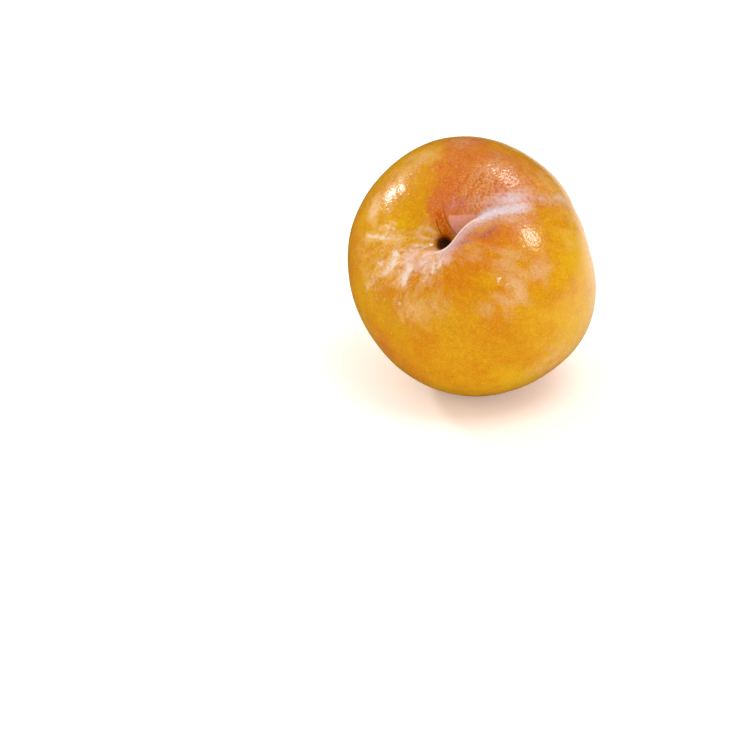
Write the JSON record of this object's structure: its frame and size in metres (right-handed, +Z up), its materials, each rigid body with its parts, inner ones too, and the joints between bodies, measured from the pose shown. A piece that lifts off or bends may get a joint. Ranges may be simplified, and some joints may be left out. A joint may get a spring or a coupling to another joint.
{
  "type": "plum",
  "caption": "Whole yellow plum lying on its side, with a stem cavity and scar, a suture groove and a blunt nipple at the blossom end.",
  "frame": {"origin": "middle of the fruit's box on the surface it rests on, so the flat spot it lies on is at z = 0", "axes": "+Z up; the stem end points to -Y, a little to -X and upwards; the blossom end points back, to +Y and downwards; the suture runs from the stem scar up towards +X"},
  "size_m": [0.0566, 0.0584, 0.0579],
  "materials": {
    "skin": "thin waxy fruit skin, half gloss with a powdery bloom"
  },
  "bodies": {
    "root": {"plum": "skin"}
  },
  "joints": []
}
